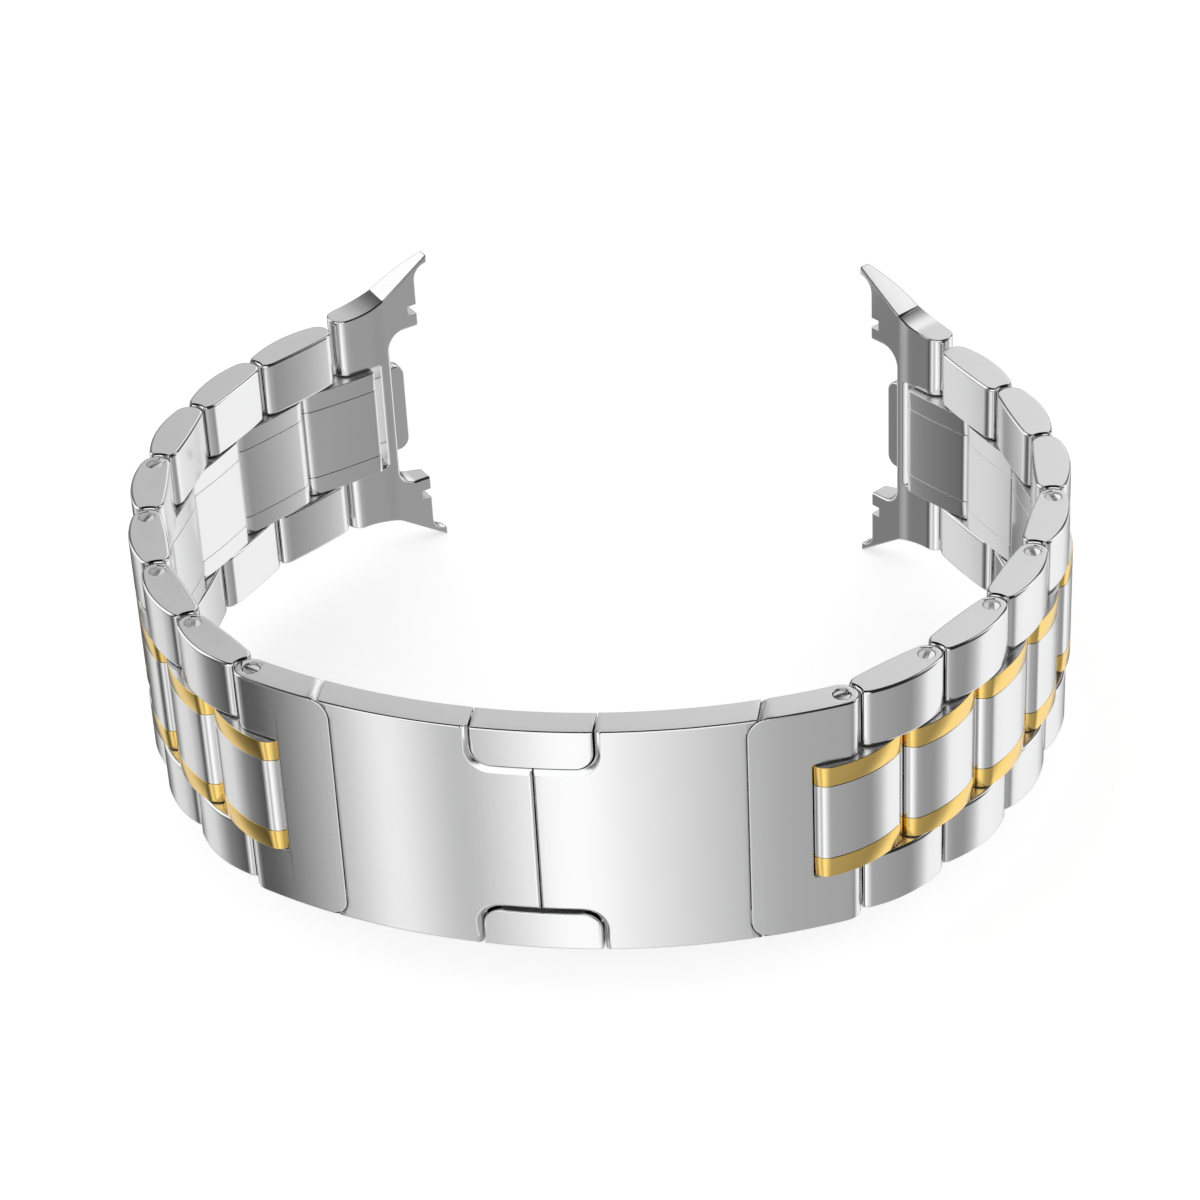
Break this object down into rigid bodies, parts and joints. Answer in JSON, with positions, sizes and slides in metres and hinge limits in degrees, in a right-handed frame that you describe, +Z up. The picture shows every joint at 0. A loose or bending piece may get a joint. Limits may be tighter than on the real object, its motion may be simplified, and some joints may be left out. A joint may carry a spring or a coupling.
{
  "type": "watch bracelet",
  "caption": "Two-tone metal watch bracelet: three-row solid links with gold-edged centre pieces, a folding clasp worked by two side buttons, and flared end links that seat on a watch case.",
  "frame": {"origin": "middle of the bounding box's bottom face, on the surface that the bracelet stands on", "axes": "+X to the right across the loop, +Y from the clasp towards the watch case, +Z up across the width of the band; the hinge pins run along Z"},
  "size_m": [0.0758, 0.064, 0.0286],
  "materials": {
    "polished_steel": "polished stainless steel",
    "brushed_steel": "brushed along the band",
    "gold": "polished yellow gold layer",
    "inner_steel": "satin",
    "spring_steel": "bright wire"
  },
  "bodies": {
    "clasp_base": {"clasp_base": "inner_steel", "base_hinge_pins": "inner_steel", "latch_housing": "inner_steel", "button_spring": "spring_steel"},
    "left_blade": {"left_blade": "inner_steel"},
    "left_cover": {"left_cover": "brushed_steel", "left_clasp_end": "polished_steel"},
    "right_blade": {"right_blade": "inner_steel"},
    "right_cover": {"right_cover": "brushed_steel", "right_clasp_end": "polished_steel"},
    "top_button": {"top_button": "polished_steel"},
    "bottom_button": {"bottom_button": "polished_steel"},
    "left_link_7": {"left_link_7_sides": "polished_steel", "left_link_7_centre": "polished_steel", "left_link_7_gold": "gold"},
    "left_link_6": {"left_link_6_sides": "polished_steel", "left_link_6_centre": "polished_steel", "left_link_6_gold": "gold"},
    "left_link_5": {"left_link_5_sides": "polished_steel", "left_link_5_centre": "polished_steel", "left_link_5_gold": "gold"},
    "left_link_4": {"left_link_4_sides": "polished_steel", "left_link_4_centre": "polished_steel", "left_link_4_gold": "gold"},
    "left_link_3": {"left_link_3_sides": "polished_steel", "left_link_3_centre": "polished_steel", "left_link_3_gold": "gold"},
    "left_link_2": {"left_link_2_sides": "polished_steel", "left_link_2_centre": "polished_steel", "left_link_2_gold": "gold"},
    "left_link_1": {"left_link_1_sides": "polished_steel", "left_link_1_centre": "polished_steel", "left_link_1_gold": "gold"},
    "left_end": {"left_end_link": "polished_steel", "left_end_centre": "polished_steel", "left_end_gold": "gold"},
    "right_link_7": {"right_link_7_sides": "polished_steel", "right_link_7_centre": "polished_steel", "right_link_7_gold": "gold"},
    "right_link_6": {"right_link_6_sides": "polished_steel", "right_link_6_centre": "polished_steel", "right_link_6_gold": "gold"},
    "right_link_5": {"right_link_5_sides": "polished_steel", "right_link_5_centre": "polished_steel", "right_link_5_gold": "gold"},
    "right_link_4": {"right_link_4_sides": "polished_steel", "right_link_4_centre": "polished_steel", "right_link_4_gold": "gold"},
    "right_link_3": {"right_link_3_sides": "polished_steel", "right_link_3_centre": "polished_steel", "right_link_3_gold": "gold"},
    "right_link_2": {"right_link_2_sides": "polished_steel", "right_link_2_centre": "polished_steel", "right_link_2_gold": "gold"},
    "right_link_1": {"right_link_1_sides": "polished_steel", "right_link_1_centre": "polished_steel", "right_link_1_gold": "gold"},
    "right_end": {"right_end_link": "polished_steel", "right_end_centre": "polished_steel", "right_end_gold": "gold"}
  },
  "joints": [
    {"name": "left_blade_hinge", "type": "hinge", "parent": "clasp_base", "child": "left_blade", "pos_m": [-0.0134, -0.02844, 0.0143], "axis": [0, 0, -1], "range_deg": [0, 150]},
    {"name": "left_cover_hinge", "type": "hinge", "parent": "left_blade", "child": "left_cover", "pos_m": [-0.0052, -0.03002, 0.0143], "axis": [0, 0, -1], "range_deg": [-150, 0]},
    {"name": "right_blade_hinge", "type": "hinge", "parent": "clasp_base", "child": "right_blade", "pos_m": [0.0134, -0.02844, 0.0143], "axis": [0, 0, 1], "range_deg": [0, 150]},
    {"name": "right_cover_hinge", "type": "hinge", "parent": "right_blade", "child": "right_cover", "pos_m": [0.0052, -0.03002, 0.0143], "axis": [0, 0, 1], "range_deg": [-150, 0]},
    {"name": "top_button_slide", "type": "slide", "parent": "clasp_base", "child": "top_button", "axis": [0, 0, -1], "range_m": [0, 0.0006], "stiffness_N_per_m": 500, "springref_m": -0.001, "deforming": ["button_spring"]},
    {"name": "bottom_button_slide", "type": "slide", "parent": "clasp_base", "child": "bottom_button", "axis": [0, 0, 1], "range_m": [0, 0.0006], "stiffness_N_per_m": 500, "springref_m": -0.001},
    {"name": "left_link_7_hinge", "type": "hinge", "parent": "left_cover", "child": "left_link_7", "pos_m": [-0.022, -0.02563, 0.0143], "axis": [0, 0, -1], "range_deg": [-22.4, 11.6]},
    {"name": "left_link_6_hinge", "type": "hinge", "parent": "left_link_7", "child": "left_link_6", "pos_m": [-0.02779, -0.01994, 0.0143], "axis": [0, 0, -1], "range_deg": [-16.5, 17.5]},
    {"name": "left_link_5_hinge", "type": "hinge", "parent": "left_link_6", "child": "left_link_5", "pos_m": [-0.0322, -0.01312, 0.0143], "axis": [0, 0, -1], "range_deg": [-17.2, 16.8]},
    {"name": "left_link_4_hinge", "type": "hinge", "parent": "left_link_5", "child": "left_link_4", "pos_m": [-0.03494, -0.00548, 0.0143], "axis": [0, 0, -1], "range_deg": [-14.7, 19.3]},
    {"name": "left_link_3_hinge", "type": "hinge", "parent": "left_link_4", "child": "left_link_3", "pos_m": [-0.03622, 0.00254, 0.0143], "axis": [0, 0, -1], "range_deg": [-18.9, 15.1]},
    {"name": "left_link_2_hinge", "type": "hinge", "parent": "left_link_3", "child": "left_link_2", "pos_m": [-0.03539, 0.01062, 0.0143], "axis": [0, 0, -1], "range_deg": [-20.6, 13.4]},
    {"name": "left_link_1_hinge", "type": "hinge", "parent": "left_link_2", "child": "left_link_1", "pos_m": [-0.03229, 0.01812, 0.0143], "axis": [0, 0, -1], "range_deg": [-18.3, 15.7]},
    {"name": "left_end_hinge", "type": "hinge", "parent": "left_link_1", "child": "left_end", "pos_m": [-0.02743, 0.02463, 0.0143], "axis": [0, 0, -1], "range_deg": [-17.2, 16.8]},
    {"name": "right_link_7_hinge", "type": "hinge", "parent": "right_cover", "child": "right_link_7", "pos_m": [0.022, -0.02563, 0.0143], "axis": [0, 0, 1], "range_deg": [-22.4, 11.6]},
    {"name": "right_link_6_hinge", "type": "hinge", "parent": "right_link_7", "child": "right_link_6", "pos_m": [0.02779, -0.01994, 0.0143], "axis": [0, 0, 1], "range_deg": [-16.5, 17.5]},
    {"name": "right_link_5_hinge", "type": "hinge", "parent": "right_link_6", "child": "right_link_5", "pos_m": [0.0322, -0.01312, 0.0143], "axis": [0, 0, 1], "range_deg": [-17.2, 16.8]},
    {"name": "right_link_4_hinge", "type": "hinge", "parent": "right_link_5", "child": "right_link_4", "pos_m": [0.03494, -0.00548, 0.0143], "axis": [0, 0, 1], "range_deg": [-14.7, 19.3]},
    {"name": "right_link_3_hinge", "type": "hinge", "parent": "right_link_4", "child": "right_link_3", "pos_m": [0.03622, 0.00254, 0.0143], "axis": [0, 0, 1], "range_deg": [-18.9, 15.1]},
    {"name": "right_link_2_hinge", "type": "hinge", "parent": "right_link_3", "child": "right_link_2", "pos_m": [0.03539, 0.01062, 0.0143], "axis": [0, 0, 1], "range_deg": [-20.6, 13.4]},
    {"name": "right_link_1_hinge", "type": "hinge", "parent": "right_link_2", "child": "right_link_1", "pos_m": [0.03229, 0.01812, 0.0143], "axis": [0, 0, 1], "range_deg": [-18.3, 15.7]},
    {"name": "right_end_hinge", "type": "hinge", "parent": "right_link_1", "child": "right_end", "pos_m": [0.02743, 0.02463, 0.0143], "axis": [0, 0, 1], "range_deg": [-17.2, 16.8]}
  ],
  "couplings": [
    {"joint": "left_cover_hinge", "follows": "left_blade_hinge", "ratio": -1},
    {"joint": "right_cover_hinge", "follows": "right_blade_hinge", "ratio": -1}
  ]
}
